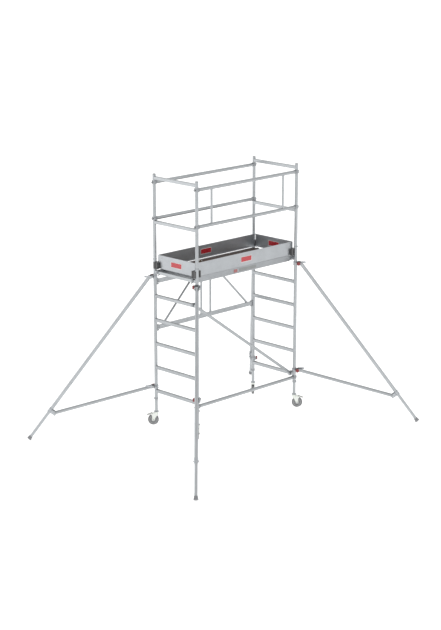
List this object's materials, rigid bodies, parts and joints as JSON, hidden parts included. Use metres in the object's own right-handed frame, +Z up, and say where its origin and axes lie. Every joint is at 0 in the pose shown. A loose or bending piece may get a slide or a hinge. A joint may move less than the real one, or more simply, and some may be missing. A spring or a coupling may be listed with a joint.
{
  "type": "mobile tower scaffold",
  "caption": "Mobile aluminium tower scaffold: ladder end frames, decked platform with a hatch, guard rails, toe boards, rear truss, swinging outriggers and castors on sliding legs.",
  "frame": {"origin": "on the floor, under the middle of the tower, at the middle of the outline's base", "axes": "+X along the platform towards the right-hand ladder, +Y across the platform towards the rear truss, +Z up"},
  "size_m": [3.7326, 2.8086, 3.113],
  "materials": {
    "aluminium_tube": "drawn tube, slightly dulled",
    "aluminium_beam": "extruded, matt",
    "toe_board": "extruded board, satin",
    "cast_metal": "sand cast, rough",
    "coupler_metal": "cast couplers with steel bolts and plastic knobs",
    "zinc_steel": "zinc plated",
    "pedal_steel": "dark coated steel",
    "plywood": "film-faced phenolic plywood, dark brown",
    "black_plastic": "moulded nylon",
    "foot_rubber": "grey moulded rubber",
    "grey_tyre": "grey tyre on a plastic core"
  },
  "bodies": {
    "tower": {"frame_connectors": "cast_metal", "truss_hinges": "cast_metal", "hinge_pins": "zinc_steel", "platform_beams": "aluminium_beam", "deck_board": "plywood", "hatch_surround": "plywood", "hatch_hinges": "zinc_steel", "platform_hooks": "cast_metal", "uplift_latches": "black_plastic", "toe_board_front": "toe_board", "toe_board_rear": "toe_board", "toe_board_left": "toe_board", "toe_board_right": "toe_board", "toe_board_clips": "black_plastic", "front_guard_frame": "aluminium_tube", "rear_rails": "aluminium_tube", "horizontal_brace": "aluminium_tube", "diagonal_brace": "aluminium_tube", "rail_claws": "cast_metal", "claw_triggers": "black_plastic", "leg_collars": "cast_metal", "ladder_left": "aluminium_tube", "ladder_right": "aluminium_tube", "guard_frame_left": "aluminium_tube", "guard_frame_right": "aluminium_tube", "truss_left": "aluminium_beam", "truss_right": "aluminium_beam"},
    "hatch": {"hatch_panel": "plywood"},
    "outrigger_a": {"outrigger_leg_a": "aluminium_tube", "outrigger_strut_a": "aluminium_tube", "outrigger_couplers_a": "coupler_metal"},
    "outrigger_foot_a": {"outrigger_foot_a": "foot_rubber"},
    "castor_leg_a": {"castor_leg_a": "zinc_steel"},
    "castor_fork_a": {"castor_fork_a": "zinc_steel"},
    "castor_wheel_a": {"castor_wheel_a": "grey_tyre"},
    "castor_pedal_a": {"castor_pedal_a": "pedal_steel"},
    "outrigger_b": {"outrigger_leg_b": "aluminium_tube", "outrigger_strut_b": "aluminium_tube", "outrigger_couplers_b": "coupler_metal"},
    "outrigger_foot_b": {"outrigger_foot_b": "foot_rubber"},
    "castor_leg_b": {"castor_leg_b": "zinc_steel"},
    "castor_fork_b": {"castor_fork_b": "zinc_steel"},
    "castor_wheel_b": {"castor_wheel_b": "grey_tyre"},
    "castor_pedal_b": {"castor_pedal_b": "pedal_steel"},
    "outrigger_c": {"outrigger_leg_c": "aluminium_tube", "outrigger_strut_c": "aluminium_tube", "outrigger_couplers_c": "coupler_metal"},
    "outrigger_foot_c": {"outrigger_foot_c": "foot_rubber"},
    "castor_leg_c": {"castor_leg_c": "zinc_steel"},
    "castor_fork_c": {"castor_fork_c": "zinc_steel"},
    "castor_wheel_c": {"castor_wheel_c": "grey_tyre"},
    "castor_pedal_c": {"castor_pedal_c": "pedal_steel"},
    "outrigger_d": {"outrigger_leg_d": "aluminium_tube", "outrigger_strut_d": "aluminium_tube", "outrigger_couplers_d": "coupler_metal"},
    "outrigger_foot_d": {"outrigger_foot_d": "foot_rubber"},
    "castor_leg_d": {"castor_leg_d": "zinc_steel"},
    "castor_fork_d": {"castor_fork_d": "zinc_steel"},
    "castor_wheel_d": {"castor_wheel_d": "grey_tyre"},
    "castor_pedal_d": {"castor_pedal_d": "pedal_steel"}
  },
  "joints": [
    {"name": "hatch_hinge", "type": "hinge", "parent": "tower", "child": "hatch", "pos_m": [-0.41, 0.226, 2.0455], "axis": [-1, 0, 0], "range_deg": [0, 95]},
    {"name": "outrigger_swing_a", "type": "hinge", "parent": "tower", "child": "outrigger_a", "pos_m": [-0.8, -0.338, 1.3], "axis": [0, 0, 1], "range_deg": [-30, 30]},
    {"name": "outrigger_extend_a", "type": "slide", "parent": "outrigger_a", "child": "outrigger_foot_a", "axis": [-0.4178, -0.4178, -0.8068], "range_m": [-0.3, 0]},
    {"name": "castor_height_a", "type": "slide", "parent": "tower", "child": "castor_leg_a", "axis": [0, 0, 1], "range_m": [-0.19, 0]},
    {"name": "castor_swivel_a", "type": "hinge", "parent": "castor_leg_a", "child": "castor_fork_a", "pos_m": [-0.8, -0.338, 0.338], "axis": [0, 0, 1], "continuous": true},
    {"name": "wheel_spin_a", "type": "hinge", "parent": "castor_fork_a", "child": "castor_wheel_a", "pos_m": [-0.82546, -0.36346, 0.2525], "axis": [0.7071, -0.7071, 0], "continuous": true},
    {"name": "brake_pedal_a", "type": "hinge", "parent": "castor_fork_a", "child": "castor_pedal_a", "pos_m": [-0.84243, -0.38043, 0.322], "axis": [0.7071, -0.7071, 0], "range_deg": [0, 8]},
    {"name": "outrigger_swing_b", "type": "hinge", "parent": "tower", "child": "outrigger_b", "pos_m": [-0.8, 0.338, 1.3], "axis": [0, 0, 1], "range_deg": [-30, 30]},
    {"name": "outrigger_extend_b", "type": "slide", "parent": "outrigger_b", "child": "outrigger_foot_b", "axis": [-0.4178, 0.4178, -0.8068], "range_m": [-0.3, 0]},
    {"name": "castor_height_b", "type": "slide", "parent": "tower", "child": "castor_leg_b", "axis": [0, 0, 1], "range_m": [-0.19, 0]},
    {"name": "castor_swivel_b", "type": "hinge", "parent": "castor_leg_b", "child": "castor_fork_b", "pos_m": [-0.8, 0.338, 0.338], "axis": [0, 0, 1], "continuous": true},
    {"name": "wheel_spin_b", "type": "hinge", "parent": "castor_fork_b", "child": "castor_wheel_b", "pos_m": [-0.82546, 0.36346, 0.2525], "axis": [-0.7071, -0.7071, 0], "continuous": true},
    {"name": "brake_pedal_b", "type": "hinge", "parent": "castor_fork_b", "child": "castor_pedal_b", "pos_m": [-0.84243, 0.38043, 0.322], "axis": [-0.7071, -0.7071, 0], "range_deg": [0, 8]},
    {"name": "outrigger_swing_c", "type": "hinge", "parent": "tower", "child": "outrigger_c", "pos_m": [0.8, -0.338, 1.3], "axis": [0, 0, 1], "range_deg": [-30, 30]},
    {"name": "outrigger_extend_c", "type": "slide", "parent": "outrigger_c", "child": "outrigger_foot_c", "axis": [0.4178, -0.4178, -0.8068], "range_m": [-0.3, 0]},
    {"name": "castor_height_c", "type": "slide", "parent": "tower", "child": "castor_leg_c", "axis": [0, 0, 1], "range_m": [-0.19, 0]},
    {"name": "castor_swivel_c", "type": "hinge", "parent": "castor_leg_c", "child": "castor_fork_c", "pos_m": [0.8, -0.338, 0.338], "axis": [0, 0, 1], "continuous": true},
    {"name": "wheel_spin_c", "type": "hinge", "parent": "castor_fork_c", "child": "castor_wheel_c", "pos_m": [0.82546, -0.36346, 0.2525], "axis": [0.7071, 0.7071, 0], "continuous": true},
    {"name": "brake_pedal_c", "type": "hinge", "parent": "castor_fork_c", "child": "castor_pedal_c", "pos_m": [0.84243, -0.38043, 0.322], "axis": [0.7071, 0.7071, 0], "range_deg": [0, 8]},
    {"name": "outrigger_swing_d", "type": "hinge", "parent": "tower", "child": "outrigger_d", "pos_m": [0.8, 0.338, 1.3], "axis": [0, 0, 1], "range_deg": [-30, 30]},
    {"name": "outrigger_extend_d", "type": "slide", "parent": "outrigger_d", "child": "outrigger_foot_d", "axis": [0.4178, 0.4178, -0.8068], "range_m": [-0.3, 0]},
    {"name": "castor_height_d", "type": "slide", "parent": "tower", "child": "castor_leg_d", "axis": [0, 0, 1], "range_m": [-0.19, 0]},
    {"name": "castor_swivel_d", "type": "hinge", "parent": "castor_leg_d", "child": "castor_fork_d", "pos_m": [0.8, 0.338, 0.338], "axis": [0, 0, 1], "continuous": true},
    {"name": "wheel_spin_d", "type": "hinge", "parent": "castor_fork_d", "child": "castor_wheel_d", "pos_m": [0.82546, 0.36346, 0.2525], "axis": [-0.7071, 0.7071, 0], "continuous": true},
    {"name": "brake_pedal_d", "type": "hinge", "parent": "castor_fork_d", "child": "castor_pedal_d", "pos_m": [0.84243, 0.38043, 0.322], "axis": [-0.7071, 0.7071, 0], "range_deg": [0, 8]}
  ]
}
